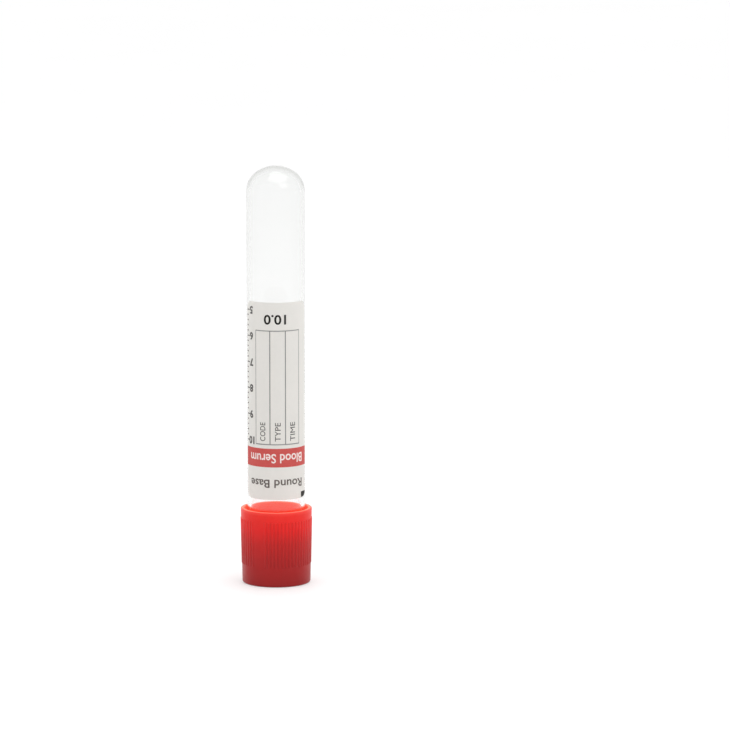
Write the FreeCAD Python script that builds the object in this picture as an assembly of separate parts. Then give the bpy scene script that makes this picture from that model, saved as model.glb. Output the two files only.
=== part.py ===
import FreeCAD, Part
import math
import os

# Blood collection tube, standing on its closed cap, in millimetres.
# The origin is the centre of the cap's closed end. +Z runs up the tube to its round bottom.
# The label faces -Y. Angles round the axis are counted from -Y, positive towards +X.

# Tube: one drawn piece with a round bottom, mouth down in the cap
TOTAL_HEIGHT = 112.0
TUBE_RADIUS = 7.75
TUBE_WALL = 1.0
MOUTH_Z = 7.0
MOUTH_CHAMFER = 0.25
DOME_HEIGHT = 6.5
DOME_THICKNESS = 1.2

# Cap: moulded in one piece, with a needle port in the closed end
CAP_HEIGHT = 20.2
CAP_END_RADIUS = 9.11
CAP_RIM_RADIUS = 9.5
CAP_EDGE_ROUNDING = 0.5
RIM_ROUNDING = 0.3
WEB_THICKNESS = 1.2
PORT_RADIUS = 4.0
PORT_CHAMFER = 0.4
SEAT_RADIUS = 8.2
BEAD_RADIUS = 8.0
BEAD_RAMP = 0.3
SKIRT_INNER_RADIUS = 8.45
GATE_PIP_RADIUS = 0.7
GATE_PIP_HEIGHT = 0.2
GATE_PIP_Z = 4.2
GATE_PIP_ANGLE = 120.0

# Grip ribs: fine upright ribs round the cap, apart from one smooth panel
RIB_COUNT = 60
RIB_PHASE = 0.25
RIB_LOW_Z = 5.3
RIB_HIGH_Z = 17.5
RIB_FOOT_ANGLE = 4.2
RIB_TOP_ANGLE = 1.8
RIB_RELIEF_SHARE = 0.015
RIB_BASE_SHARE = 0.002
RIB_RING_DEPTH = 0.35
PANEL_FROM = -39.0
PANEL_TO = -20.0

# Stopper: rubber, with a flange that fills the closed end and a plug for the tube's mouth
FLANGE_SMALL_RADIUS = 7.4
FLANGE_LAND = 0.8
FLANGE_CHAMFER = 0.5
NECK_RADIUS = 6.3
NECK_HEIGHT = 1.5
PLUG_CLEARANCE = 0.03
PLUG_SHOULDER_Z = 13.3
PLUG_ROUNDING = 1.0
TIP_HEIGHT = 1.5
PLUG_TIP_RADIUS = 0.6

# Label: paper, glued to the front of the tube, with rounded corners
LABEL_LOW_Z = 23.5
LABEL_HIGH_Z = 76.5
LABEL_HALF_ANGLE = 77.0
LABEL_THICKNESS = 0.1
LABEL_CORNER = 1.4

# Print on the label: fields of colour
INK_THICKNESS = 0.04
BAND_LOW_Z = 32.3
BAND_HIGH_Z = 37.3
FORM_LOW_Z = 38.4
FORM_HIGH_Z = 68.8
FORM_COLUMNS = (-45.8, -13.1, 19.2, 50.9)
LINE_WIDTH = 0.22
MARK_FROM = 57.7
MARK_TO = 75.0
MARK_LOW_Z = 23.7
MARK_HIGH_Z = 25.2

AXIS = FreeCAD.Vector(0, 0, 1)
ORIGIN = FreeCAD.Vector(0, 0, 0)
DOME_STEPS = 7


def point(radius, z):
    """A point of a half section, in the XZ plane."""
    return FreeCAD.Vector(radius, 0, z)


def rounded(start, corner, end, steps=2):
    """Points along the quarter ellipse from start to end that rounds off a corner."""
    points = []
    for step in range(steps + 1):
        turn = math.pi / 2 * step / steps
        points.append(
            corner + (start - corner) * (1 - math.sin(turn)) + (end - corner) * (1 - math.cos(turn))
        )
    return points


def loop(points):
    """A closed wire of straight edges."""
    return Part.makePolygon(points + points[:1])


def revolve(section):
    """The solid made by turning a closed half section round the axis."""
    return Part.Face(loop(section)).revolve(ORIGIN, AXIS, 360)


def outward(angle):
    """The unit vector that points out from the axis at an angle counted from the front."""
    turn = math.radians(angle)
    return FreeCAD.Vector(math.sin(turn), -math.cos(turn), 0)


def tube():
    bore_radius = TUBE_RADIUS - TUBE_WALL
    bore_top_z = TOTAL_HEIGHT - DOME_THICKNESS
    shoulder_z = TOTAL_HEIGHT - DOME_HEIGHT
    lip_z = MOUTH_Z + MOUTH_CHAMFER
    outer_dome = rounded(
        point(TUBE_RADIUS, shoulder_z),
        point(TUBE_RADIUS, TOTAL_HEIGHT),
        point(0, TOTAL_HEIGHT),
        DOME_STEPS,
    )
    bore_dome = rounded(
        point(0, bore_top_z), point(bore_radius, bore_top_z), point(bore_radius, shoulder_z), DOME_STEPS
    )
    mouth = [
        point(bore_radius, lip_z),
        point(bore_radius + MOUTH_CHAMFER, MOUTH_Z),
        point(TUBE_RADIUS - MOUTH_CHAMFER, MOUTH_Z),
        point(TUBE_RADIUS, lip_z),
    ]
    return revolve(outer_dome + bore_dome + mouth)


def cap_radius(z):
    """The radius of the cap's smooth outer cone at a height."""
    return CAP_END_RADIUS + (CAP_RIM_RADIUS - CAP_END_RADIUS) * z / CAP_HEIGHT


def cap_body():
    """The cap's section: closed end, seat and snap bead for the stopper, open skirt."""
    low_z = CAP_EDGE_ROUNDING
    high_z = CAP_HEIGHT - RIM_ROUNDING
    closed_end = [
        point(SKIRT_INNER_RADIUS, MOUTH_Z + BEAD_RAMP * 3),
        point(BEAD_RADIUS, MOUTH_Z + BEAD_RAMP),
        point(SEAT_RADIUS, MOUTH_Z),
        point(SEAT_RADIUS, WEB_THICKNESS),
        point(PORT_RADIUS, WEB_THICKNESS),
        point(PORT_RADIUS, PORT_CHAMFER),
        point(PORT_RADIUS + PORT_CHAMFER, 0),
    ]
    outer_edge = rounded(
        point(CAP_END_RADIUS - CAP_EDGE_ROUNDING, 0),
        point(CAP_END_RADIUS, 0),
        point(cap_radius(low_z), low_z),
    )
    outer_rim = rounded(
        point(cap_radius(high_z), high_z),
        point(CAP_RIM_RADIUS, CAP_HEIGHT),
        point(CAP_RIM_RADIUS - RIM_ROUNDING, CAP_HEIGHT),
    )
    inner_rim = [
        point(SKIRT_INNER_RADIUS + RIM_ROUNDING, CAP_HEIGHT),
        point(SKIRT_INNER_RADIUS, high_z),
    ]
    return revolve(closed_end + outer_edge + outer_rim + inner_rim)


def in_panel(angle):
    """Whether an angle lies in the smooth panel."""
    signed = (angle + 180.0) % 360.0 - 180.0
    return PANEL_FROM < signed < PANEL_TO


def toothed_outline(z):
    """The corners of the ribbed ring at a height: a low trapezoid at every pitch outside the panel."""
    foot = cap_radius(z) * (1 + RIB_BASE_SHARE)
    crest = cap_radius(z) * (1 + RIB_RELIEF_SHARE)
    half_foot = RIB_FOOT_ANGLE / 2
    half_crest = RIB_TOP_ANGLE / 2
    points = []
    for index in range(RIB_COUNT):
        angle = RIB_PHASE + 360.0 * index / RIB_COUNT
        points.append(outward(angle - half_foot) * foot + AXIS * z)
        if not in_panel(angle):
            points.append(outward(angle - half_crest) * crest + AXIS * z)
            points.append(outward(angle + half_crest) * crest + AXIS * z)
        points.append(outward(angle + half_foot) * foot + AXIS * z)
    return points


def ribbed_ring():
    """The band of fine upright ribs, with one smooth panel, and square ends. Its flanks are flat."""
    low = toothed_outline(RIB_LOW_Z)
    high = toothed_outline(RIB_HIGH_Z)
    faces = [Part.Face(loop(low)), Part.Face(loop(high))]
    for index in range(len(low)):
        after = (index + 1) % len(low)
        faces.append(Part.Face(loop([low[index], low[after], high[after], high[index]])))
    drum = Part.Solid(Part.makeShell(faces))
    core = Part.makeCylinder(cap_radius(RIB_LOW_Z) - RIB_RING_DEPTH, CAP_HEIGHT)
    return drum.cut(core)


def ribbed_ring_bed():
    """The waste that makes room for the ribbed ring in the cap's wall."""
    height = RIB_HIGH_Z - RIB_LOW_Z
    drum = Part.makeCylinder(CAP_RIM_RADIUS + 1, height, AXIS * RIB_LOW_Z)
    core = Part.makeCylinder(cap_radius(RIB_LOW_Z) - RIB_RING_DEPTH, height, AXIS * RIB_LOW_Z)
    return drum.cut(core)


def gate_pip():
    """The small round mark that the mould's gate leaves on the back."""
    direction = outward(GATE_PIP_ANGLE)
    start = direction * (cap_radius(GATE_PIP_Z) - GATE_PIP_RADIUS) + AXIS * GATE_PIP_Z
    return Part.makeCylinder(GATE_PIP_RADIUS, GATE_PIP_RADIUS + GATE_PIP_HEIGHT, start, direction)


def cap():
    return cap_body().cut(ribbed_ring_bed()).fuse([ribbed_ring(), gate_pip()])


def stopper():
    plug_radius = TUBE_RADIUS - TUBE_WALL - PLUG_CLEARANCE
    neck_top_z = MOUTH_Z + NECK_HEIGHT
    tip_z = PLUG_SHOULDER_Z + TIP_HEIGHT
    plug_edge = rounded(
        point(plug_radius, PLUG_SHOULDER_Z - PLUG_ROUNDING),
        point(plug_radius, PLUG_SHOULDER_Z),
        point(plug_radius - PLUG_ROUNDING, PLUG_SHOULDER_Z),
    )
    flange = [
        point(0, WEB_THICKNESS),
        point(FLANGE_SMALL_RADIUS - FLANGE_CHAMFER, WEB_THICKNESS),
        point(FLANGE_SMALL_RADIUS, WEB_THICKNESS + FLANGE_CHAMFER),
        point(SEAT_RADIUS, MOUTH_Z - FLANGE_LAND),
        point(SEAT_RADIUS, MOUTH_Z),
    ]
    plug = [
        point(NECK_RADIUS, MOUTH_Z),
        point(NECK_RADIUS, neck_top_z),
        point(plug_radius, neck_top_z + plug_radius - NECK_RADIUS),
    ] + plug_edge + [point(PLUG_TIP_RADIUS, tip_z), point(0, tip_z)]
    return revolve(flange + plug)


def wrapped(inner_radius, thickness, low_z, high_z, from_angle, to_angle):
    """A thin patch that follows a cylinder round the axis between two angles."""
    section = [
        point(inner_radius, low_z),
        point(inner_radius + thickness, low_z),
        point(inner_radius + thickness, high_z),
        point(inner_radius, high_z),
    ]
    face = Part.Face(loop(section))
    face.rotate(ORIGIN, AXIS, from_angle - 90)
    return face.revolve(ORIGIN, AXIS, to_angle - from_angle)


def corner_cutter(side, end):
    """The waste outside one rounded corner of the label. side and end are -1 or 1."""
    corner_span = math.degrees(LABEL_CORNER / TUBE_RADIUS)
    direction = outward(side * (LABEL_HALF_ANGLE - corner_span))
    tangent = AXIS.cross(direction) * side
    corner_z = LABEL_HIGH_Z if end > 0 else LABEL_LOW_Z
    centre = AXIS * (corner_z - end * LABEL_CORNER) + direction * (TUBE_RADIUS - 1)
    reach = LABEL_CORNER * 2
    corner = [
        centre,
        centre + tangent * reach,
        centre + tangent * reach + AXIS * end * reach,
        centre + AXIS * end * reach,
    ]
    square = Part.Face(loop(corner)).extrude(direction * 2)
    disc = Part.makeCylinder(LABEL_CORNER, 2, centre, direction)
    return square.cut(disc)


def rounded_at_label_corners(patch):
    for side in (-1, 1):
        for end in (-1, 1):
            patch = patch.cut(corner_cutter(side, end))
    return patch


def label():
    patch = wrapped(
        TUBE_RADIUS, LABEL_THICKNESS, LABEL_LOW_Z, LABEL_HIGH_Z, -LABEL_HALF_ANGLE, LABEL_HALF_ANGLE
    )
    return rounded_at_label_corners(patch)


def printed(low_z, high_z, from_angle, to_angle):
    """A field of ink on the face of the label."""
    return wrapped(TUBE_RADIUS + LABEL_THICKNESS, INK_THICKNESS, low_z, high_z, from_angle, to_angle)


def red_band():
    return printed(BAND_LOW_Z, BAND_HIGH_Z, -LABEL_HALF_ANGLE, LABEL_HALF_ANGLE)


def form_lines():
    """The ruled form: a line above and below, and upright lines between its columns."""
    half_line_angle = math.degrees(LINE_WIDTH / 2 / TUBE_RADIUS)
    left = FORM_COLUMNS[0] - half_line_angle
    right = FORM_COLUMNS[-1] + half_line_angle
    lines = [printed(z - LINE_WIDTH / 2, z + LINE_WIDTH / 2, left, right) for z in (FORM_LOW_Z, FORM_HIGH_Z)]
    for angle in FORM_COLUMNS:
        lines.append(printed(FORM_LOW_Z, FORM_HIGH_Z, angle - half_line_angle, angle + half_line_angle))
    return lines[0].fuse(lines[1:]).removeSplitter()


def black_mark():
    return rounded_at_label_corners(printed(MARK_LOW_Z, MARK_HIGH_Z, MARK_FROM, MARK_TO))


def main():
    nodes = {
        "tube": tube(),
        "cap": cap(),
        "stopper": stopper(),
        "label": label(),
        "label_red_band": red_band(),
        "label_form_lines": form_lines(),
        "label_black_mark": black_mark(),
    }
    os.makedirs("parts", exist_ok=True)
    for name, shape in nodes.items():
        shape.exportStep("parts/" + name + ".step")


main()
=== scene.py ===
import math

import bmesh
import bpy
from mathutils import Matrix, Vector


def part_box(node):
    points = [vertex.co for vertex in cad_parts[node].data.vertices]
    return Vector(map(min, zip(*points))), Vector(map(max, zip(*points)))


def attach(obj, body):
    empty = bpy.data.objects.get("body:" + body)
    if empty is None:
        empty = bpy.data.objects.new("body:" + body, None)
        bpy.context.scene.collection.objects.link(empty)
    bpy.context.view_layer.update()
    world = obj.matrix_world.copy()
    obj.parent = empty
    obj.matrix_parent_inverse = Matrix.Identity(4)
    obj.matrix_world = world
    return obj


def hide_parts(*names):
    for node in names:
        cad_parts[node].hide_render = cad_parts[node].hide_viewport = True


# Looks of the blood collection tube. Pieces are shaped in millimetres round the frame's own axis,
# and take the frame's metres when they are finished.
# Angles round the axis are in degrees from the front, -Y, and positive towards +X.

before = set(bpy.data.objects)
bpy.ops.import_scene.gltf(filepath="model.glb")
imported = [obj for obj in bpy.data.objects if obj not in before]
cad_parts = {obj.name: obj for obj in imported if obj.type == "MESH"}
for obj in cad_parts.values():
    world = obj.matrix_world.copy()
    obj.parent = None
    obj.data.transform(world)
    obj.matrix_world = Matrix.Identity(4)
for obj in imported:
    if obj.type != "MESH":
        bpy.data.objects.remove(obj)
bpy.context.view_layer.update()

MM = 0.001


def node_box(node):
    """The lowest and highest corner of a CAD node, in millimetres."""
    low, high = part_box(node)
    return low / MM, high / MM


tube_low, tube_high = node_box("tube")
cap_high = node_box("cap")[1]
stopper_low, stopper_high = node_box("stopper")
label_low, label_high = node_box("label")
band_low, band_high = node_box("label_red_band")
form_low, form_high = node_box("label_form_lines")
mark_low, mark_high = node_box("label_black_mark")

# Modelling. Points closer than the gap are one. The margins tell one wall or edge from the next.
DOUBLE_GAP = 0.002
WALL_MARGIN = 0.5
ANGLE_MARGIN = 0.1
CORNER_STEPS = 4
ROUND_PROFILE = 0.5
SMOOTH_ANGLE = 40.0
QUARTER_TURN = 90.0

# Tube. The node's skin is made of flat facets, so its widest place is rounded to its radius.
TUBE_RADIUS = round(tube_high.x, 2)
TUBE_TOP_Z = tube_high.z
MOUTH_Z = tube_low.z
TUBE_WALL = 1.0
DOME_HEIGHT = 6.5
DOME_THICKNESS = 1.2
DOME_STEPS = 20
LIP_ROUNDING = 0.3
TUBE_COLUMNS = 128

# Cap
CAP_HEIGHT = cap_high.z
CAP_END_RADIUS = 9.11
CAP_RIM_RADIUS = 9.5
CAP_EDGE_ROUNDING = 0.5
RIM_ROUNDING = 0.3
WEB_THICKNESS = 1.2
PORT_RADIUS = 4.0
PORT_ROUNDING = 0.35
SEAT_RADIUS = 8.2
BEAD_RADIUS = 8.0
BEAD_RISE = 0.3
BEAD_ROUNDING = 0.15
BEAD_RAMP = 0.9
SKIRT_INNER_RADIUS = 8.45
GATE_PIP_RADIUS = 0.7
GATE_PIP_DEPTH = 0.7
GATE_PIP_HEIGHT = 0.18
GATE_PIP_Z = 4.2
GATE_PIP_ANGLE = 120.0
GATE_PIP_COLUMNS = 32
GATE_DIMPLE_RIM = 0.12
GATE_DIMPLE_DEPTH = 0.05

# Ribs on the cap: one every pitch, apart from a smooth panel of three pitches
RIB_COUNT = 60
RIB_PITCH = 360.0 / RIB_COUNT
PANEL_ANGLE = -29.75
PANEL_PITCHES = 3
FIRST_RIB_ANGLE = PANEL_ANGLE + RIB_PITCH * (PANEL_PITCHES + 1) / 2
SLICE_COLUMNS = 6
RIB_FOOT_HALF_ANGLE = 2.0
RIB_LOW_Z = 5.3
RIB_HIGH_Z = 17.5
RIB_RELIEF = 0.12
RIB_CREST_SHARE = 0.62
RIB_SOFTENING = 0.05
RIB_SOFTENING_STEPS = 2

# Stopper, a hair smaller than its seat
FLANGE_SMALL_RADIUS = 7.4
FLANGE_LAND = 0.8
NECK_RADIUS = 6.3
NECK_HEIGHT = 1.5
PLUG_SHOULDER_Z = 13.3
SEAT_CLEARANCE = 0.03
RUBBER_ROUNDING = 0.35
PLUG_ROUNDING = 1.0
STOPPER_COLUMNS = 96

# Label and print
LABEL_LEFT = -72.5
LABEL_RIGHT = 76.0
LABEL_FACE_RADIUS = TUBE_RADIUS + 0.1
LABEL_THICKNESS = 0.09
LABEL_CORNER = 2.3
LABEL_CORNER_STEPS = 8
WRAP_COLUMN_ANGLE = 2.0
INK_THICKNESS = 0.03
INK_MARGIN = 0.02
FORM_COLUMNS = (-41.2, -10.9, 19.6, 50.4)
FORM_HEADINGS = ("CODE", "TYPE", "TIME")
LINE_WIDTH = 0.26
TOP_LINE_GAIN = 0.1
BOTTOM_LINE_GAIN = 0.13
MARK_FROM = 57.7
MARK_TO = 75.0
MARK_ROUNDING = 1.6

# Lettering. Capitals are as high as this share of the font's size. The words read with the cap on top,
# so here they stand upside down.
CAPITAL_SHARE = 0.69
LETTER_STEPS = 4
UPSIDE_DOWN = 180.0
UPWARDS = 90.0

# Volume scale: five ticks to a millilitre, and a long one with a figure at each whole millilitre
SCALE_VOLUMES = (5, 6, 7, 8, 9, 10)
SCALE_ANGLE = -54.5
TICK_FROM = -70.5
LONG_TICK_ANGLE = 10.0
SHORT_TICK_SHARE = 0.5
TICK_WIDTH = 0.25
TICKS_PER_ML = 5
CUBIC_MM_PER_ML = 1000
HALF_ELLIPSOID_SHARE = 2 / 3


def edit_mode():
    """Opens the active piece's mesh."""
    bpy.ops.object.mode_set(mode="EDIT")


def object_mode():
    """Closes the mesh."""
    bpy.ops.object.mode_set(mode="OBJECT")


def select_only(piece):
    """Selects one piece, and makes it the active one."""
    bpy.ops.object.select_all(action="DESELECT")
    piece.select_set(True)
    bpy.context.view_layer.objects.active = piece


def select_points(test):
    """Selects the points of the piece in edit mode whose place passes a test."""
    mesh = bmesh.from_edit_mesh(bpy.context.object.data)
    bpy.ops.mesh.select_all(action="DESELECT")
    bpy.ops.mesh.select_mode(type="VERT")
    for vertex in mesh.verts:
        vertex.select_set(test(vertex.co))
    mesh.select_flush(True)
    bmesh.update_edit_mesh(bpy.context.object.data)


def select_edges(test):
    """Selects the edges of the piece in edit mode whose two ends pass a test."""
    mesh = bmesh.from_edit_mesh(bpy.context.object.data)
    bpy.ops.mesh.select_all(action="DESELECT")
    bpy.ops.mesh.select_mode(type="EDGE")
    for edge in mesh.edges:
        edge.select_set(test(edge.verts[0].co, edge.verts[1].co))
    bmesh.update_edit_mesh(bpy.context.object.data)


def select_faces(test):
    """Selects the faces of the piece in edit mode whose middle and normal pass a test."""
    mesh = bmesh.from_edit_mesh(bpy.context.object.data)
    bpy.ops.mesh.select_all(action="DESELECT")
    bpy.ops.mesh.select_mode(type="FACE")
    for face in mesh.faces:
        face.select_set(test(face.calc_center_median(), face.normal))
    bmesh.update_edit_mesh(bpy.context.object.data)


def angle_from_side(place):
    """A place's angle round the axis from +X, in degrees."""
    return math.degrees(math.atan2(place.y, place.x))


def outward(angle):
    """The unit vector that points out from the axis at an angle counted from the front."""
    turn = math.radians(angle)
    return Vector((math.sin(turn), -math.cos(turn), 0))


def draw_profile(name, corners):
    """A half section, drawn corner by corner from one point. A corner is (radius, height)."""
    bpy.ops.object.select_all(action="DESELECT")
    bpy.ops.mesh.primitive_plane_add(size=1, location=(0, 0, 0))
    piece = bpy.context.object
    piece.name = name
    edit_mode()
    bpy.ops.mesh.select_mode(type="VERT")
    bpy.ops.mesh.merge(type="CENTER")
    place = Vector((0, 0, 0))
    for index, (radius, height) in enumerate(corners):
        step = Vector((radius, 0, height)) - place
        if index == 0:
            bpy.ops.transform.translate(value=step)
        else:
            bpy.ops.mesh.extrude_vertices_move(TRANSFORM_OT_translate={"value": step})
        place = place + step
    return piece


def round_corner(radius, height, size):
    """Rounds one corner of the profile being drawn."""
    corner = Vector((radius, 0, height))
    select_points(lambda place: (place - corner).length < DOUBLE_GAP)
    bpy.ops.mesh.bevel(affect="VERTICES", offset=size, segments=CORNER_STEPS, profile=ROUND_PROFILE)


def close_profile():
    """Joins the last corner of the profile to the first, which it lies on."""
    bpy.ops.mesh.select_all(action="SELECT")
    bpy.ops.mesh.remove_doubles(threshold=DOUBLE_GAP)


def tidy_skin():
    """Joins doubled points and turns every face outwards."""
    bpy.ops.mesh.select_all(action="SELECT")
    bpy.ops.mesh.remove_doubles(threshold=DOUBLE_GAP)
    bpy.ops.mesh.normals_make_consistent(inside=False)


def spin_profile(columns, angle=360.0):
    """Turns the profile about the axis, and joins what lies together."""
    bpy.ops.mesh.select_all(action="SELECT")
    bpy.ops.mesh.spin(
        steps=columns, angle=math.radians(-angle), center=(0, 0, 0), axis=(0, 0, 1), use_auto_merge=False
    )
    tidy_skin()


def turn_selected(angle):
    """Turns what is selected about the axis, counterclockwise from above."""
    bpy.ops.transform.rotate(
        value=math.radians(-angle), orient_axis="Z", orient_type="GLOBAL", center_override=(0, 0, 0)
    )


def copy_slice(count, pitch):
    """Copies what is selected round the axis, a pitch apart."""
    bpy.ops.mesh.spin(
        dupli=True,
        steps=count,
        angle=math.radians(-pitch * count),
        center=(0, 0, 0),
        axis=(0, 0, 1),
        use_auto_merge=False,
    )


def weld_on(piece, addition):
    """Joins a second closed solid to a piece as one skin."""
    select_only(piece)
    union = piece.modifiers.new("weld", "BOOLEAN")
    union.operation = "UNION"
    union.solver = "EXACT"
    union.object = addition
    bpy.ops.object.modifier_apply(modifier=union.name)
    bpy.data.objects.remove(addition)


def finish_piece(piece, body, material, nodes=()):
    """Brings a piece to the frame's metres, and gives it its shading, finish and body."""
    select_only(piece)
    bpy.ops.object.shade_smooth_by_angle(angle=math.radians(SMOOTH_ANGLE))
    piece.scale = (MM, MM, MM)
    bpy.ops.object.transform_apply(location=True, rotation=True, scale=True)
    even = piece.modifiers.new("even_shading", "WEIGHTED_NORMAL")
    even.keep_sharp = True
    bpy.ops.object.modifier_apply(modifier=even.name)
    piece.data.materials.clear()
    piece.data.materials.append(material)
    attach(piece, body)
    if nodes:
        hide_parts(*nodes)


# Pieces of revolution


def ellipse_arc(side_radius, side_z, top_z):
    """Points from a wall's top, over a quarter ellipse, to the axis."""
    points = []
    for step in range(DOME_STEPS + 1):
        turn = math.pi / 2 * step / DOME_STEPS
        points.append((side_radius * math.cos(turn), side_z + (top_z - side_z) * math.sin(turn)))
    return points


def glass_tube():
    """The tube: one closed skin, over the round bottom outside, round the lip, and back inside."""
    bore_radius = TUBE_RADIUS - TUBE_WALL
    shoulder_z = TUBE_TOP_Z - DOME_HEIGHT
    outside = ellipse_arc(TUBE_RADIUS, shoulder_z, TUBE_TOP_Z)
    inside = ellipse_arc(bore_radius, shoulder_z, TUBE_TOP_Z - DOME_THICKNESS)
    corners = outside[::-1] + [(TUBE_RADIUS, MOUTH_Z), (bore_radius, MOUTH_Z)] + inside
    piece = draw_profile("glass_tube", corners)
    round_corner(TUBE_RADIUS, MOUTH_Z, LIP_ROUNDING)
    round_corner(bore_radius, MOUTH_Z, LIP_ROUNDING)
    spin_profile(TUBE_COLUMNS)
    object_mode()
    return piece


def rubber_stopper():
    """The stopper: a tapered flange, a neck, a plug and a low cone on top."""
    flange_radius = SEAT_RADIUS - SEAT_CLEARANCE
    flange_top_z = MOUTH_Z - SEAT_CLEARANCE
    base_z = stopper_low.z + SEAT_CLEARANCE
    plug_radius = TUBE_RADIUS - TUBE_WALL - SEAT_CLEARANCE
    neck_top_z = MOUTH_Z + NECK_HEIGHT
    flange_foot = (FLANGE_SMALL_RADIUS, base_z)
    flange_edge = (flange_radius, flange_top_z)
    neck_foot = (NECK_RADIUS, flange_top_z)
    plug_shoulder = (plug_radius, PLUG_SHOULDER_Z)
    corners = [
        (0, base_z),
        flange_foot,
        (flange_radius, MOUTH_Z - FLANGE_LAND),
        flange_edge,
        neck_foot,
        (NECK_RADIUS, neck_top_z),
        (plug_radius, neck_top_z + plug_radius - NECK_RADIUS),
        plug_shoulder,
        (0, stopper_high.z),
    ]
    piece = draw_profile("rubber_stopper", corners)
    for corner in (flange_foot, flange_edge, neck_foot):
        round_corner(*corner, RUBBER_ROUNDING)
    round_corner(*plug_shoulder, PLUG_ROUNDING)
    spin_profile(STOPPER_COLUMNS)
    object_mode()
    return piece


def cap_radius(z):
    """The radius of the cap's smooth outer cone at a height."""
    return CAP_END_RADIUS + (CAP_RIM_RADIUS - CAP_END_RADIUS) * z / CAP_HEIGHT


def on_outer_wall(place):
    """Whether a place of the cap lies outside its skirt's bore."""
    return place.to_2d().length > SKIRT_INNER_RADIUS + WALL_MARGIN


def in_rib_foot(middle, normal):
    """Whether a face of the slice is outer wall between a rib's ends and flanks."""
    along_rib = RIB_LOW_Z < middle.z < RIB_HIGH_Z
    return on_outer_wall(middle) and along_rib and abs(angle_from_side(middle)) < RIB_FOOT_HALF_ANGLE


def is_long_rib_edge(start, end):
    """Whether an edge of the slice runs up the rib, beside its crest or along its foot."""
    upright = abs(start.z - end.z) > (RIB_HIGH_Z - RIB_LOW_Z) / 2
    start_angle = abs(angle_from_side(start))
    end_angle = abs(angle_from_side(end))
    in_rib = max(start_angle, end_angle) < RIB_FOOT_HALF_ANGLE + ANGLE_MARGIN
    at_crest = abs(start_angle - RIB_FOOT_HALF_ANGLE * RIB_CREST_SHARE) < ANGLE_MARGIN
    at_foot = abs(start_angle - RIB_FOOT_HALF_ANGLE) < ANGLE_MARGIN
    return upright and on_outer_wall(start) and in_rib and (at_crest or at_foot)


def raise_rib():
    """Raises one rib on the slice that lies round +X, narrows its crest and softens its long edges."""
    select_faces(in_rib_foot)
    bpy.ops.mesh.extrude_region_shrink_fatten(TRANSFORM_OT_shrink_fatten={"value": RIB_RELIEF})
    bpy.ops.transform.resize(value=(1, RIB_CREST_SHARE, 1), center_override=(0, 0, 0))
    select_edges(is_long_rib_edge)
    bpy.ops.mesh.bevel(offset=RIB_SOFTENING, segments=RIB_SOFTENING_STEPS, profile=ROUND_PROFILE)


def gate_pip():
    """The small round mark of the mould's gate: a short disc with a shallow dimple in its face."""
    direction = outward(GATE_PIP_ANGLE)
    face = direction * (cap_radius(GATE_PIP_Z) + GATE_PIP_HEIGHT)
    bpy.ops.object.select_all(action="DESELECT")
    bpy.ops.mesh.primitive_cylinder_add(
        vertices=GATE_PIP_COLUMNS,
        radius=GATE_PIP_RADIUS,
        depth=GATE_PIP_DEPTH,
        location=face - direction * GATE_PIP_DEPTH / 2 + Vector((0, 0, GATE_PIP_Z)),
        rotation=direction.to_track_quat("Z", "Y").to_euler(),
    )
    piece = bpy.context.object
    edit_mode()
    select_faces(lambda middle, normal: normal.z > 1 - DOUBLE_GAP)
    bpy.ops.mesh.inset(thickness=GATE_DIMPLE_RIM)
    bpy.ops.mesh.extrude_region_shrink_fatten(TRANSFORM_OT_shrink_fatten={"value": -GATE_DIMPLE_DEPTH})
    object_mode()
    bpy.ops.object.transform_apply(location=True, rotation=True, scale=True)
    return piece


def ribbed_cap():
    """The cap. One slice is drawn and copied for the panel, then a rib is raised on it and it is copied
    round the rest."""
    corners = [
        (PORT_RADIUS, 0),
        (CAP_END_RADIUS, 0),
        (cap_radius(RIB_LOW_Z), RIB_LOW_Z),
        (cap_radius(RIB_HIGH_Z), RIB_HIGH_Z),
        (CAP_RIM_RADIUS, CAP_HEIGHT),
        (SKIRT_INNER_RADIUS, CAP_HEIGHT),
        (SKIRT_INNER_RADIUS, MOUTH_Z + BEAD_RAMP),
        (BEAD_RADIUS, MOUTH_Z + BEAD_RISE),
        (SEAT_RADIUS, MOUTH_Z),
        (SEAT_RADIUS, WEB_THICKNESS),
        (PORT_RADIUS, WEB_THICKNESS),
        (PORT_RADIUS, 0),
    ]
    piece = draw_profile("ribbed_cap", corners)
    close_profile()
    round_corner(PORT_RADIUS, 0, PORT_ROUNDING)
    round_corner(CAP_END_RADIUS, 0, CAP_EDGE_ROUNDING)
    round_corner(CAP_RIM_RADIUS, CAP_HEIGHT, RIM_ROUNDING)
    round_corner(SKIRT_INNER_RADIUS, CAP_HEIGHT, RIM_ROUNDING)
    round_corner(BEAD_RADIUS, MOUTH_Z + BEAD_RISE, BEAD_ROUNDING)
    spin_profile(SLICE_COLUMNS, RIB_PITCH)
    turn_selected(-RIB_PITCH / 2)
    copy_slice(PANEL_PITCHES, -RIB_PITCH)
    raise_rib()
    select_faces(lambda middle, normal: abs(angle_from_side(middle)) < RIB_PITCH / 2)
    copy_slice(RIB_COUNT - PANEL_PITCHES - 1, RIB_PITCH)
    tidy_skin()
    turn_selected(FIRST_RIB_ANGLE - QUARTER_TURN)
    object_mode()
    weld_on(piece, gate_pip())
    return piece


# Label and print: drawn flat in front of the axis, then wrapped round it


def arc_place(angle, radius):
    """How far along the flat sheet an angle round the axis lies."""
    return math.radians(angle) * radius


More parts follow.
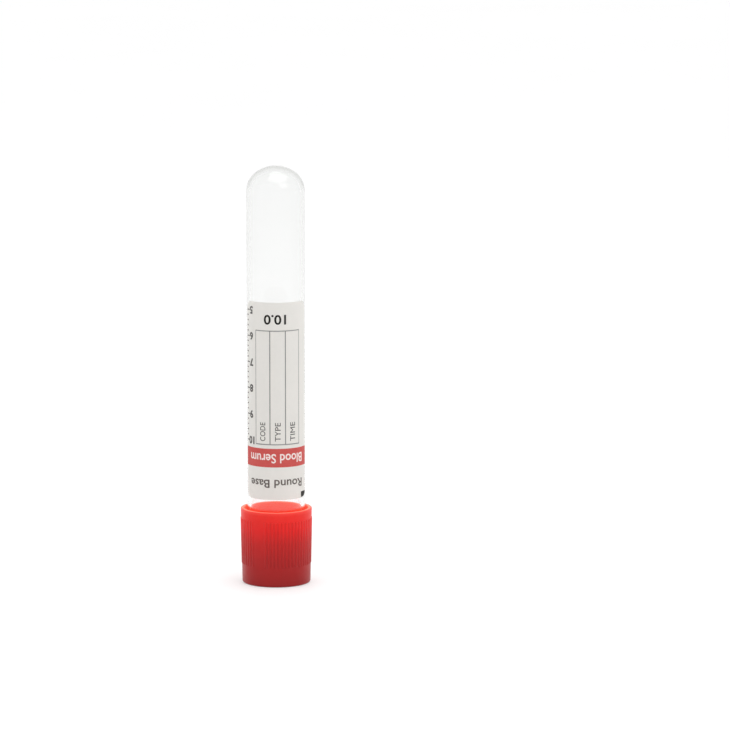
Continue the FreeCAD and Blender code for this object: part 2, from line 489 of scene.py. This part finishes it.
def flat_sheet(name, left, right, low_z, high_z):
    """A flat upright sheet that faces the front, in edit mode."""
    bpy.ops.object.select_all(action="DESELECT")
    bpy.ops.mesh.primitive_plane_add(size=1, location=(0, 0, 0), rotation=(math.pi / 2, 0, 0))
    piece = bpy.context.object
    piece.name = name
    bpy.ops.object.transform_apply(location=True, rotation=True, scale=True)
    edit_mode()
    bpy.ops.mesh.select_all(action="SELECT")
    bpy.ops.transform.resize(value=(right - left, 1, high_z - low_z))
    bpy.ops.transform.translate(value=((left + right) / 2, 0, (low_z + high_z) / 2))
    return piece


def wrap(piece, radius, thickness):
    """Cuts a flat piece into columns, bends it round the axis and gives it its thickness."""
    select_only(piece)
    places = [vertex.co.x for vertex in piece.data.vertices]
    left = min(places)
    right = max(places)
    edit_mode()
    step = arc_place(WRAP_COLUMN_ANGLE, radius)
    for index in range(math.ceil(left / step), math.floor(right / step) + 1):
        if left + DOUBLE_GAP < index * step < right - DOUBLE_GAP:
            bpy.ops.mesh.select_all(action="SELECT")
            bpy.ops.mesh.bisect(plane_co=(index * step, 0, 0), plane_no=(1, 0, 0))
    object_mode()
    bend = piece.modifiers.new("bend", "SIMPLE_DEFORM")
    bend.deform_method = "BEND"
    bend.deform_axis = "Z"
    bend.angle = (right - left) / radius
    bpy.ops.object.modifier_apply(modifier=bend.name)
    edit_mode()
    bpy.ops.mesh.select_all(action="SELECT")
    bpy.ops.transform.translate(value=(0, -radius, 0))
    object_mode()
    sheet = piece.modifiers.new("thickness", "SOLIDIFY")
    sheet.thickness = thickness
    sheet.offset = 1.0
    bpy.ops.object.modifier_apply(modifier=sheet.name)


def paper_label():
    """The label: a sheet with rounded corners."""
    radius = LABEL_FACE_RADIUS - LABEL_THICKNESS
    left = arc_place(LABEL_LEFT, radius)
    right = arc_place(LABEL_RIGHT, radius)
    piece = flat_sheet("paper_label", left, right, label_low.z, label_high.z)
    bpy.ops.mesh.bevel(affect="VERTICES", offset=LABEL_CORNER, segments=LABEL_CORNER_STEPS)
    object_mode()
    wrap(piece, radius, LABEL_THICKNESS)
    return piece


def red_band():
    """The printed band, from edge to edge of the label."""
    left = arc_place(LABEL_LEFT, LABEL_FACE_RADIUS) + INK_MARGIN
    right = arc_place(LABEL_RIGHT, LABEL_FACE_RADIUS) - INK_MARGIN
    piece = flat_sheet("red_band", left, right, band_low.z, band_high.z)
    object_mode()
    wrap(piece, LABEL_FACE_RADIUS, INK_THICKNESS)
    return piece


def corner_mark():
    """The solid mark in the label's lower right corner, cut round like the corner itself."""
    left = arc_place(MARK_FROM, LABEL_FACE_RADIUS)
    right = arc_place(MARK_TO, LABEL_FACE_RADIUS)
    piece = flat_sheet("corner_mark", left, right, mark_low.z, mark_high.z)
    select_points(lambda place: place.x > left + INK_MARGIN and place.z < mark_low.z + INK_MARGIN)
    bpy.ops.mesh.bevel(affect="VERTICES", offset=MARK_ROUNDING, segments=LABEL_CORNER_STEPS)
    object_mode()
    wrap(piece, LABEL_FACE_RADIUS, INK_THICKNESS)
    return piece


def form_lines():
    """The ruled form: a sheet cut into its columns, each of them opened to leave the lines. Its head and
    foot are ruled heavier than its sides."""
    left, first, second, right = [arc_place(angle, LABEL_FACE_RADIUS) for angle in FORM_COLUMNS]
    half_line = LINE_WIDTH / 2
    piece = flat_sheet("form_lines", left - half_line, right + half_line, form_low.z, form_high.z)
    for place in (first, second):
        bpy.ops.mesh.select_all(action="SELECT")
        bpy.ops.mesh.bisect(plane_co=(place, 0, 0), plane_no=(1, 0, 0))
    bpy.ops.mesh.select_all(action="SELECT")
    bpy.ops.mesh.inset(thickness=half_line, use_individual=True)
    bpy.ops.mesh.delete(type="FACE")
    select_points(lambda place: place.z > form_high.z - INK_MARGIN)
    bpy.ops.transform.translate(value=(0, 0, TOP_LINE_GAIN))
    select_points(lambda place: form_low.z + INK_MARGIN < place.z < form_low.z + LINE_WIDTH)
    bpy.ops.transform.translate(value=(0, 0, BOTTOM_LINE_GAIN))
    object_mode()
    wrap(piece, LABEL_FACE_RADIUS, INK_THICKNESS)
    return piece


def lettering(
    name, words, height, angle, z, turn=UPSIDE_DOWN, width=None, boldness=0.0, radius=LABEL_FACE_RADIUS
):
    """Generic words or figures, drawn flat, sized, turned on the sheet and wrapped round the tube.
    The angle and z are their middle, and the height is that of their capitals."""
    bpy.ops.object.select_all(action="DESELECT")
    bpy.ops.object.text_add(location=(0, 0, 0))
    piece = bpy.context.object
    piece.name = name
    piece.data.body = words
    piece.data.size = height / CAPITAL_SHARE
    piece.data.offset = boldness * height
    piece.data.resolution_u = LETTER_STEPS
    bpy.ops.object.convert(target="MESH")
    piece = bpy.context.object
    edit_mode()
    bpy.ops.mesh.select_all(action="SELECT")
    bpy.ops.mesh.remove_doubles(threshold=DOUBLE_GAP)
    across = [vertex.co.x for vertex in bmesh.from_edit_mesh(piece.data).verts]
    left = min(across)
    right = max(across)
    bpy.ops.transform.translate(value=(-(left + right) / 2, -height / 2, 0))
    if width:
        bpy.ops.transform.resize(value=(width / (right - left), 1, 1), center_override=(0, 0, 0))
    object_mode()
    piece.rotation_euler = (math.pi / 2, -math.radians(turn), 0)
    piece.location = (arc_place(angle, radius), 0, z)
    bpy.ops.object.transform_apply(location=True, rotation=True, scale=True)
    wrap(piece, radius, INK_THICKNESS)
    return piece


def level_z(volume):
    """The height at which the surface of a volume, in millilitres, lies when the tube is held cap up. Here
    the tube stands on its cap, so a larger volume lies lower."""
    bore_area = math.pi * (TUBE_RADIUS - TUBE_WALL) ** 2
    dome_volume = bore_area * (DOME_HEIGHT - DOME_THICKNESS) * HALF_ELLIPSOID_SHARE
    return TUBE_TOP_Z - DOME_HEIGHT - (volume * CUBIC_MM_PER_ML - dome_volume) / bore_area


def scale_ticks():
    """The level marks: one tick is drawn and copied down the label, long at each whole millilitre."""
    left = arc_place(TICK_FROM, LABEL_FACE_RADIUS)
    long_tick = arc_place(LONG_TICK_ANGLE, LABEL_FACE_RADIUS)
    top_z = level_z(SCALE_VOLUMES[0])
    count = (len(SCALE_VOLUMES) - 1) * TICKS_PER_ML
    step = (level_z(SCALE_VOLUMES[-1]) - top_z) / count
    half_width = TICK_WIDTH / 2
    piece = flat_sheet("scale_ticks", left, left + long_tick, top_z - half_width, top_z + half_width)
    for index in range(1, count + 1):
        bpy.ops.mesh.duplicate_move(TRANSFORM_OT_translate={"value": (0, 0, step)})
        if index % TICKS_PER_ML == 0:
            bpy.ops.transform.resize(value=(1 / SHORT_TICK_SHARE, 1, 1), center_override=(left, 0, 0))
        elif index % TICKS_PER_ML == 1:
            bpy.ops.transform.resize(value=(SHORT_TICK_SHARE, 1, 1), center_override=(left, 0, 0))
    object_mode()
    wrap(piece, LABEL_FACE_RADIUS, INK_THICKNESS)
    return piece


# Finishes. A range says where a mask starts and where it is full.

# Grain: fine noise and broader mottling, added by their shares and stretched to full contrast
FINE_DETAIL = 4.0
FINE_SHARE = 0.45
BROAD_DETAIL = 2.0
BROAD_SHARE = 0.55
BROAD_SCALE = 0.12
NOISE_RANGE = (0.35, 0.65)
MIDDLE = 0.5
GRAIN_DEPTH = 0.1 * MM

# Glass. The edge's painted grey shade follows how far a face turns away, on the outer skin of the round
# bottom.
GLASS_CLEAR = (0.990, 0.993, 0.990)
GLASS_STREAKS = (1.0, 1.0, 1.0)
GLASS_EDGE_SHADE = (0.68, 0.685, 0.665)
GLASS_EDGE_SHADE_RANGE = (0.48, 0.70)
GLASS_DEPTH = (0.48, 0.5, 0.47)
GLASS_DENSITY = 70.0
DOME_SKIN_RANGE = (0.85, 0.95)
DOME_RISE_RANGE = (-0.5, 2.5)

# Red plastic. A tone is a height in millimetres and the colour there.
# The cap's tones are painted shade, darker towards the bottom and in front of the stopper, and a painted
# highlight at the rim.
CAP_PAINTED_SHADE_AND_HIGHLIGHT = (
    (0.0, (0.345, 0.0095, 0.0095)),
    (7.0, (0.47, 0.0105, 0.0105)),
    (11.5, (0.60, 0.011, 0.010)),
    (15.5, (0.85, 0.013, 0.011)),
    (19.2, (0.93, 0.024, 0.016)),
    (20.2, (1.0, 0.060, 0.045)),
)
# Inside the skirt, painted light: brighter tones and a glow that stand for light coming through the wall.
SKIRT_PAINTED_LIGHT_TONES = ((16.5, (1.0, 0.06, 0.04)), (19.8, (1.0, 0.23, 0.125)))
SKIRT_PAINTED_GLOW = (0.63, 0.022, 0.011)
SKIRT_RELIEF_RANGE = (-0.05, -0.5)
SKIRT_HEIGHT_RANGE = (MOUTH_Z, CAP_HEIGHT - 4.0)
# Painted shade in the grooves between the ribs.
GROOVE_SHADE_COLOUR = (0.12, 0.0, 0.0)
GROOVE_SHADE_SHARE = 0.13
CREST_RANGE = (RIB_RELIEF * 0.1, RIB_RELIEF * 0.8)
RIB_END_BLUR = 0.2
PANEL_EDGE_RANGE = (RIB_PITCH * 1.6, RIB_PITCH * 1.7)
PLASTIC_MOTTLE = 0.93


def add_node(tree, kind, **settings):
    """A new node with its settings."""
    node = tree.nodes.new(kind)
    for name, value in settings.items():
        setattr(node, name, value)
    return node


def feed(tree, value, socket):
    """Gives a socket a number, a vector, a colour or another node's output."""
    if isinstance(value, bpy.types.NodeSocket):
        tree.links.new(value, socket)
    elif socket.type == "RGBA":
        socket.default_value = (*value, 1)
    else:
        socket.default_value = value


def maths(tree, operation, first, second=0.0):
    """A Math node on two sockets or numbers."""
    node = add_node(tree, "ShaderNodeMath", operation=operation)
    feed(tree, first, node.inputs[0])
    feed(tree, second, node.inputs[1])
    return node.outputs[0]


def sum_of_squares(tree, first, second):
    """The squares of two sockets, added."""
    first_square = maths(tree, "MULTIPLY", first, first)
    return maths(tree, "ADD", first_square, maths(tree, "MULTIPLY", second, second))


def smooth_step(tree, value, start, full):
    """0 up to the start of a range, 1 where it is full, and smooth between them."""
    step = add_node(tree, "ShaderNodeMapRange", interpolation_type="SMOOTHSTEP")
    feed(tree, value, step.inputs["Value"])
    step.inputs["From Min"].default_value = start
    step.inputs["From Max"].default_value = full
    return step.outputs["Result"]


def noise(tree, place, scale, detail):
    """Noise at a place. The scale is a number or a socket."""
    node = add_node(tree, "ShaderNodeTexNoise")
    feed(tree, place, node.inputs["Vector"])
    feed(tree, scale, node.inputs["Scale"])
    node.inputs["Detail"].default_value = detail
    return node.outputs["Fac"]


def mixed_colour(tree, share, first, second):
    """A Mix node on colours. Each is a socket or a colour."""
    node = add_node(tree, "ShaderNodeMix", data_type="RGBA")
    feed(tree, share, node.inputs["Factor"])
    for name, value in (("A", first), ("B", second)):
        socket = [each for each in node.inputs if each.name == name and each.type == "RGBA"][0]
        feed(tree, value, socket)
    return [each for each in node.outputs if each.type == "RGBA"][0]


def height_ramp(tree, height, tones):
    """A colour that follows the height on the cap."""
    ramp = add_node(tree, "ShaderNodeValToRGB")
    feed(tree, maths(tree, "DIVIDE", height, CAP_HEIGHT), ramp.inputs["Fac"])
    points = ramp.color_ramp.elements
    while len(points) < len(tones):
        points.new(MIDDLE)
    for point, (z, colour) in zip(points, tones):
        point.position = z / CAP_HEIGHT
        point.color = (*colour, 1)
    return ramp.outputs["Color"]


def grain_group():
    """Fine grain and broad mottling, for colour, roughness and relief."""
    tree = bpy.data.node_groups.new("fine_grain", "ShaderNodeTree")
    for name, kind, value in (
        ("Colour", "NodeSocketColor", (0.5, 0.5, 0.5, 1)),
        ("Mottled Colour", "NodeSocketColor", (0.5, 0.5, 0.5, 1)),
        ("Grain Scale", "NodeSocketFloat", 1000.0),
        ("Stretch", "NodeSocketVector", (1, 1, 1)),
        ("Roughness", "NodeSocketFloat", 0.5),
        ("Roughness Spread", "NodeSocketFloat", 0.1),
        ("Relief", "NodeSocketFloat", 0.1),
    ):
        socket = tree.interface.new_socket(name, in_out="INPUT", socket_type=kind)
        socket.default_value = value
    tree.interface.new_socket("Colour", in_out="OUTPUT", socket_type="NodeSocketColor")
    tree.interface.new_socket("Roughness", in_out="OUTPUT", socket_type="NodeSocketFloat")
    tree.interface.new_socket("Normal", in_out="OUTPUT", socket_type="NodeSocketVector")
    given = add_node(tree, "NodeGroupInput").outputs
    result = add_node(tree, "NodeGroupOutput").inputs
    stretched = add_node(tree, "ShaderNodeVectorMath", operation="MULTIPLY")
    feed(tree, add_node(tree, "ShaderNodeTexCoord").outputs["Object"], stretched.inputs[0])
    feed(tree, given["Stretch"], stretched.inputs[1])
    place = stretched.outputs[0]
    fine = noise(tree, place, given["Grain Scale"], FINE_DETAIL)
    broad = noise(tree, place, maths(tree, "MULTIPLY", given["Grain Scale"], BROAD_SCALE), BROAD_DETAIL)
    fine_part = maths(tree, "MULTIPLY", fine, FINE_SHARE)
    broad_part = maths(tree, "MULTIPLY", broad, BROAD_SHARE)
    spread = add_node(tree, "ShaderNodeMapRange")
    feed(tree, maths(tree, "ADD", fine_part, broad_part), spread.inputs["Value"])
    spread.inputs["From Min"].default_value, spread.inputs["From Max"].default_value = NOISE_RANGE
    share = spread.outputs["Result"]
    feed(tree, mixed_colour(tree, share, given["Colour"], given["Mottled Colour"]), result["Colour"])
    centred = maths(tree, "SUBTRACT", share, MIDDLE)
    varied = maths(tree, "MULTIPLY", centred, given["Roughness Spread"])
    feed(tree, maths(tree, "ADD", given["Roughness"], varied), result["Roughness"])
    bump = add_node(tree, "ShaderNodeBump")
    bump.inputs["Distance"].default_value = GRAIN_DEPTH
    feed(tree, given["Relief"], bump.inputs["Strength"])
    feed(tree, fine, bump.inputs["Height"])
    feed(tree, bump.outputs["Normal"], result["Normal"])
    return tree


def round_axis_group():
    """The distance from the axis and the height, in a given unit, and the angle from the front."""
    tree = bpy.data.node_groups.new("place_round_axis", "ShaderNodeTree")
    tree.interface.new_socket("Unit", in_out="INPUT", socket_type="NodeSocketFloat").default_value = MM
    for name in ("Radius", "Height", "Angle"):
        tree.interface.new_socket(name, in_out="OUTPUT", socket_type="NodeSocketFloat")
    unit = add_node(tree, "NodeGroupInput").outputs["Unit"]
    result = add_node(tree, "NodeGroupOutput").inputs
    split = add_node(tree, "ShaderNodeSeparateXYZ")
    feed(tree, add_node(tree, "ShaderNodeTexCoord").outputs["Object"], split.inputs["Vector"])
    across, along, up = split.outputs
    distance = maths(tree, "SQRT", sum_of_squares(tree, across, along))
    feed(tree, maths(tree, "DIVIDE", distance, unit), result["Radius"])
    feed(tree, maths(tree, "DIVIDE", up, unit), result["Height"])
    turn = maths(tree, "ARCTAN2", across, maths(tree, "MULTIPLY", along, -1.0))
    feed(tree, maths(tree, "MULTIPLY", turn, math.degrees(1.0)), result["Angle"])
    return tree


GRAIN = grain_group()
ROUND_AXIS = round_axis_group()


def new_material(name):
    """A material, its node tree and its shader."""
    material = bpy.data.materials.new(name)
    material.use_nodes = True
    return material, material.node_tree, material.node_tree.nodes["Principled BSDF"]


def add_grain(tree, shader, colour, mottled, scale, roughness, spread, relief, stretch=(1, 1, 1)):
    """Places the grain group in a material with its own values. A colour may be a socket."""
    grain = add_node(tree, "ShaderNodeGroup", node_tree=GRAIN)
    feed(tree, colour, grain.inputs["Colour"])
    feed(tree, mottled, grain.inputs["Mottled Colour"])
    grain.inputs["Grain Scale"].default_value = scale
    grain.inputs["Stretch"].default_value = stretch
    grain.inputs["Roughness"].default_value = roughness
    grain.inputs["Roughness Spread"].default_value = spread
    grain.inputs["Relief"].default_value = relief
    feed(tree, grain.outputs["Colour"], shader.inputs["Base Color"])
    feed(tree, grain.outputs["Roughness"], shader.inputs["Roughness"])
    feed(tree, grain.outputs["Normal"], shader.inputs["Normal"])
    return grain


def place_round_axis(tree):
    """Places the round axis group in a material. Returns its radius and height, in millimetres, and its
    angle."""
    group = add_node(tree, "ShaderNodeGroup", node_tree=ROUND_AXIS)
    group.inputs["Unit"].default_value = MM
    return [group.outputs[name] for name in ("Radius", "Height", "Angle")]


def outside_of_dome_mask(tree):
    """1 on the outer skin of the round bottom, and 0 on its inner skin and along the straight wall. On the
    outer skin's ellipse, the squares of the place across and of the rise add up to 1."""
    radius, height, _ = place_round_axis(tree)
    above_shoulder = maths(tree, "SUBTRACT", height, TUBE_TOP_Z - DOME_HEIGHT)
    across = maths(tree, "DIVIDE", radius, TUBE_RADIUS)
    rise = maths(tree, "DIVIDE", above_shoulder, DOME_HEIGHT)
    outer = smooth_step(tree, sum_of_squares(tree, across, rise), *DOME_SKIN_RANGE)
    return maths(tree, "MULTIPLY", outer, smooth_step(tree, above_shoulder, *DOME_RISE_RANGE))


def clear_glass():
    """Clear drawn glass: faint upright streaks, a painted grey shade on the round bottom's edge, a grey
    depth, and light let through for shadows."""
    material, tree, shader = new_material("clear_glass")
    grain = add_grain(
        tree,
        shader,
        colour=GLASS_CLEAR,
        mottled=GLASS_STREAKS,
        scale=260.0,
        roughness=0.002,
        spread=0.002,
        relief=0.0008,
        stretch=(1.0, 1.0, 0.05),
    )
    # Painted shade: the round bottom's outline greys where its outer skin turns away.
    facing = add_node(tree, "ShaderNodeLayerWeight").outputs["Facing"]
    turned_away = smooth_step(tree, facing, *GLASS_EDGE_SHADE_RANGE)
    painted_edge_shade = maths(tree, "MULTIPLY", turned_away, outside_of_dome_mask(tree))
    tint = mixed_colour(tree, painted_edge_shade, grain.outputs["Colour"], GLASS_EDGE_SHADE)
    feed(tree, tint, shader.inputs["Base Color"])
    shader.inputs["Transmission Weight"].default_value = 1.0
    shader.inputs["IOR"].default_value = 1.5
    depth = add_node(tree, "ShaderNodeVolumeAbsorption")
    depth.inputs["Color"].default_value = (*GLASS_DEPTH, 1)
    depth.inputs["Density"].default_value = GLASS_DENSITY
    open_glass = add_node(tree, "ShaderNodeBsdfTransparent")
    mix = add_node(tree, "ShaderNodeMixShader")
    out = tree.nodes["Material Output"]
    feed(tree, add_node(tree, "ShaderNodeLightPath").outputs["Is Shadow Ray"], mix.inputs["Fac"])
    feed(tree, shader.outputs["BSDF"], mix.inputs[1])
    feed(tree, open_glass.outputs["BSDF"], mix.inputs[2])
    feed(tree, mix.outputs["Shader"], out.inputs["Surface"])
    feed(tree, depth.outputs["Volume"], out.inputs["Volume"])
    return material


def relief_on_cap(tree, radius, height):
    """How far a place stands out from the cap's smooth outer cone, in millimetres."""
    slope = (CAP_RIM_RADIUS - CAP_END_RADIUS) / CAP_HEIGHT
    cone = maths(tree, "ADD", maths(tree, "MULTIPLY", height, slope), CAP_END_RADIUS)
    return maths(tree, "SUBTRACT", radius, cone)


def rib_groove_mask(tree, relief, height, angle):
    """Where painted shade darkens the grooves: 1 in the grooves between the ribs and 0 on their crests, on
    the panel and past the ribs' ends.
    """
    crest = smooth_step(tree, relief, *CREST_RANGE)
    past_foot = smooth_step(tree, height, RIB_LOW_Z - RIB_END_BLUR, RIB_LOW_Z + RIB_END_BLUR)
    below_head = smooth_step(tree, height, RIB_HIGH_Z + RIB_END_BLUR, RIB_HIGH_Z - RIB_END_BLUR)
    off_panel = maths(tree, "ABSOLUTE", maths(tree, "SUBTRACT", angle, PANEL_ANGLE))
    ribbed = smooth_step(tree, off_panel, *PANEL_EDGE_RANGE)
    groove_shade = maths(tree, "MULTIPLY", maths(tree, "SUBTRACT", 1.0, crest), ribbed)
    return maths(tree, "MULTIPLY", groove_shade, maths(tree, "MULTIPLY", past_foot, below_head))


def translucent_red():
    """Moulded red plastic. Inside its open skirt it has painted light, brighter tones and a glow that
    stand for light through the wall. Outside, painted shade makes it darker towards the bottom and in
    front of the stopper, with a painted highlight at the rim, and deeper in the grooves between its ribs."""
    material, tree, shader = new_material("translucent_red")
    radius, height, angle = place_round_axis(tree)
    relief = relief_on_cap(tree, radius, height)
    # Painted shade in the grooves between the ribs.
    groove_shade = maths(tree, "MULTIPLY", rib_groove_mask(tree, relief, height, angle), GROOVE_SHADE_SHARE)
    # Painted shade, darker towards the bottom and in front of the stopper, and a painted highlight at the
    # rim.
    outside = mixed_colour(tree, groove_shade, height_ramp(tree, height, CAP_PAINTED_SHADE_AND_HIGHLIGHT), GROOVE_SHADE_COLOUR)
    # Painted light inside the open skirt: the mask for its brighter tones and its glow.
    bore = smooth_step(tree, relief, *SKIRT_RELIEF_RANGE)
    inside = maths(tree, "MULTIPLY", bore, smooth_step(tree, height, *SKIRT_HEIGHT_RANGE))
    colour = mixed_colour(tree, inside, outside, height_ramp(tree, height, SKIRT_PAINTED_LIGHT_TONES))
    deeper = add_node(tree, "ShaderNodeHueSaturation")
    deeper.inputs["Value"].default_value = PLASTIC_MOTTLE
    feed(tree, colour, deeper.inputs["Color"])
    add_grain(
        tree,
        shader,
        colour=colour,
        mottled=deeper.outputs["Color"],
        scale=900.0,
        roughness=0.4,
        spread=0.1,
        relief=0.05,
    )
    # The skirt's glow is painted light, not a lamp.
    glow = mixed_colour(tree, inside, (0.0, 0.0, 0.0), SKIRT_PAINTED_GLOW)
    feed(tree, glow, shader.inputs["Emission Color"])
    shader.inputs["Emission Strength"].default_value = 1.0
    shader.inputs["Subsurface Weight"].default_value = 0.2
    shader.inputs["Subsurface Radius"].default_value = (1.0, 0.15, 0.12)
    shader.inputs["Subsurface Scale"].default_value = 1.5 * MM
    shader.inputs["Specular IOR Level"].default_value = 0.27
    return material


def dark_rubber():
    """Matt stopper rubber, mottled by its fillers."""
    material, tree, shader = new_material("dark_rubber")
    add_grain(
        tree,
        shader,
        colour=(0.072, 0.072, 0.077),
        mottled=(0.098, 0.098, 0.102),
        scale=2200.0,
        roughness=0.6,
        spread=0.16,
        relief=0.25,
    )
    return material


def coated_paper():
    """Label paper: fine fibres under a thin coat, a little warmer in patches, that some light passes."""
    material, tree, shader = new_material("coated_paper")
    add_grain(
        tree,
        shader,
        colour=(0.836, 0.808, 0.757),
        mottled=(0.867, 0.832, 0.780),
        scale=1500.0,
        roughness=0.5,
        spread=0.12,
        relief=0.12,
        stretch=(1.0, 1.0, 0.6),
    )
    shader.inputs["Subsurface Weight"].default_value = 0.5
    shader.inputs["Subsurface Radius"].default_value = (1.0, 1.0, 1.0)
    shader.inputs["Subsurface Scale"].default_value = 0.4 * MM
    return material


def print_ink(name, colour, worn):
    """Printing ink, a little uneven over the paper's fibres."""
    material, tree, shader = new_material(name)
    add_grain(tree, shader, colour, worn, scale=3800.0, roughness=0.55, spread=0.12, relief=0.1)
    shader.inputs["Specular IOR Level"].default_value = 0.2
    return material


# The pieces, finished and placed

GLASS = clear_glass()
PLASTIC = translucent_red()
RUBBER = dark_rubber()
PAPER = coated_paper()
RED_INK = print_ink("red_ink", (0.60, 0.088, 0.080), (0.65, 0.106, 0.096))
BLACK_INK = print_ink("black_ink", (0.016, 0.014, 0.012), (0.032, 0.028, 0.025))
DARK_INK = print_ink("dark_grey_ink", (0.078, 0.072, 0.068), (0.108, 0.100, 0.094))
BROWN_INK = print_ink("brown_grey_ink", (0.125, 0.105, 0.095), (0.165, 0.140, 0.128))
GREY_INK = print_ink("grey_ink", (0.26, 0.255, 0.245), (0.33, 0.325, 0.31))
WHITE_INK = print_ink("white_ink", (0.94, 0.79, 0.76), (0.97, 0.85, 0.82))

finish_piece(glass_tube(), "tube", GLASS, ["tube"])
finish_piece(ribbed_cap(), "closure", PLASTIC, ["cap"])
finish_piece(rubber_stopper(), "closure", RUBBER, ["stopper"])
finish_piece(paper_label(), "tube", PAPER, ["label"])
finish_piece(red_band(), "tube", RED_INK, ["label_red_band"])
finish_piece(form_lines(), "tube", GREY_INK, ["label_form_lines"])
finish_piece(corner_mark(), "tube", BLACK_INK, ["label_black_mark"])
finish_piece(scale_ticks(), "tube", DARK_INK)

capacity = lettering("capacity_figure", "10.0", height=2.45, angle=-0.8, z=71.9, width=6.0, boldness=0.03)
finish_piece(capacity, "tube", BLACK_INK)
for words, left, right in zip(FORM_HEADINGS, FORM_COLUMNS, FORM_COLUMNS[1:]):
    name = "heading_" + words.lower()
    middle = (left + right) / 2
    heading = lettering(name, words, height=1.5, angle=middle, z=41.8, turn=UPWARDS, width=5.0)
    finish_piece(heading, "tube", DARK_INK)
band_words = lettering(
    "band_words",
    "Blood Serum",
    height=2.4,
    angle=1.8,
    z=34.65,
    width=15.9,
    boldness=0.02,
    radius=LABEL_FACE_RADIUS + INK_THICKNESS,
)
finish_piece(band_words, "tube", WHITE_INK)
use_words = lettering(
    "use_words", "Round Base", height=2.15, angle=2.1, z=27.85, width=15.8, boldness=0.02
)
finish_piece(use_words, "tube", BROWN_INK)
for volume in SCALE_VOLUMES:
    name = "scale_%d" % volume
    level = level_z(volume)
    figure = lettering(name, str(volume), height=1.9, angle=SCALE_ANGLE, z=level, boldness=0.045)
    finish_piece(figure, "tube", DARK_INK)

# Studio. Places and sizes are in metres, and 1 is a surround's white. A lamp's power is in watts.

FLOOR_SIZE = 8
FLOOR_CLEARANCE = 0.02 * MM
FLOOR_GLOW = 0.34
FRONT_LIGHT = 0.85
BACK_LIGHT = 1.2
BACK_LIGHT_RANGE = (-0.7, 0.9)
CAMERA_PLACE = Vector((0.0237, -1.350, 0.275))
CAMERA_AIM = Vector((0.0237, 0.0, 0.0586))


def seen_directly(tree):
    """1 for rays from the camera, in reflections and through glass, and 0 for light."""
    path = add_node(tree, "ShaderNodeLightPath")
    either = maths(tree, "MAXIMUM", path.outputs["Is Camera Ray"], path.outputs["Is Glossy Ray"])
    return maths(tree, "MAXIMUM", either, path.outputs["Is Transmission Ray"])


def white_floor():
    """A white floor that keeps the soft shadow. Seen directly it glows up to the backdrop's white."""
    material, tree, shader = new_material("white_floor")
    add_grain(
        tree,
        shader,
        colour=(0.60, 0.60, 0.60),
        mottled=(0.62, 0.62, 0.62),
        scale=60.0,
        roughness=0.7,
        spread=0.1,
        relief=0.0,
    )
    glow = add_node(tree, "ShaderNodeEmission")
    glow.inputs["Strength"].default_value = FLOOR_GLOW
    nothing = add_node(tree, "ShaderNodeEmission")
    nothing.inputs["Strength"].default_value = 0.0
    shown = add_node(tree, "ShaderNodeMixShader")
    total = add_node(tree, "ShaderNodeAddShader")
    feed(tree, seen_directly(tree), shown.inputs["Fac"])
    feed(tree, nothing.outputs["Emission"], shown.inputs[1])
    feed(tree, glow.outputs["Emission"], shown.inputs[2])
    feed(tree, shader.outputs["BSDF"], total.inputs[0])
    feed(tree, shown.outputs["Shader"], total.inputs[1])
    feed(tree, total.outputs["Shader"], tree.nodes["Material Output"].inputs["Surface"])
    return material


def studio_floor():
    """The floor, just under the cap's end so that the two don't lie in one plane."""
    bpy.ops.object.select_all(action="DESELECT")
    bpy.ops.mesh.primitive_plane_add(size=FLOOR_SIZE, location=(0, 0, -FLOOR_CLEARANCE))
    floor = bpy.context.object
    floor.name = "floor"
    floor.data.materials.append(white_floor())


def studio_world():
    """A white surround. Seen directly it is plain white, and its light is softer in front than behind."""
    world = bpy.data.worlds.new("studio")
    bpy.context.scene.world = world
    world.use_nodes = True
    tree = world.node_tree
    light = tree.nodes["Background"]
    light.inputs["Color"].default_value = (1, 1, 1, 1)
    direction = add_node(tree, "ShaderNodeSeparateXYZ")
    feed(tree, add_node(tree, "ShaderNodeTexCoord").outputs["Generated"], direction.inputs["Vector"])
    behind = smooth_step(tree, direction.outputs["Y"], *BACK_LIGHT_RANGE)
    rise = maths(tree, "MULTIPLY", behind, BACK_LIGHT - FRONT_LIGHT)
    feed(tree, maths(tree, "ADD", rise, FRONT_LIGHT), light.inputs["Strength"])
    backdrop = add_node(tree, "ShaderNodeBackground")
    backdrop.inputs["Color"].default_value = (1, 1, 1, 1)
    mix = add_node(tree, "ShaderNodeMixShader")
    feed(tree, seen_directly(tree), mix.inputs["Fac"])
    feed(tree, light.outputs["Background"], mix.inputs[1])
    feed(tree, backdrop.outputs["Background"], mix.inputs[2])
    feed(tree, mix.outputs["Shader"], tree.nodes["World Output"].inputs["Surface"])


def softbox(name, place, aim, size, power):
    """A soft square lamp, aimed at a point."""
    data = bpy.data.lights.new(name, "AREA")
    data.shape = "RECTANGLE"
    data.size = size
    data.size_y = size
    data.energy = power
    lamp = bpy.data.objects.new(name, data)
    bpy.context.scene.collection.objects.link(lamp)
    lamp.location = place
    lamp.rotation_euler = (Vector(aim) - Vector(place)).to_track_quat("-Z", "Y").to_euler()


def studio_camera():
    """A long lens, a little above the object, which stands left of the picture's middle."""
    data = bpy.data.cameras.new("camera")
    data.sensor_width = 36.0
    data.lens = 253.4
    data.clip_end = 20.0
    camera = bpy.data.objects.new("camera", data)
    bpy.context.scene.collection.objects.link(camera)
    camera.location = CAMERA_PLACE
    camera.rotation_euler = (CAMERA_AIM - CAMERA_PLACE).to_track_quat("-Z", "Y").to_euler()
    bpy.context.scene.camera = camera


studio_floor()
studio_world()
studio_camera()
softbox("key", place=(0.5, -0.6, 0.7), aim=(0, 0, 0.06), size=0.5, power=0.8)
softbox("top", place=(0.05, -0.02, 0.62), aim=(0, 0, 0.11), size=0.45, power=1.0)

bpy.context.scene.view_settings.view_transform = "Standard"
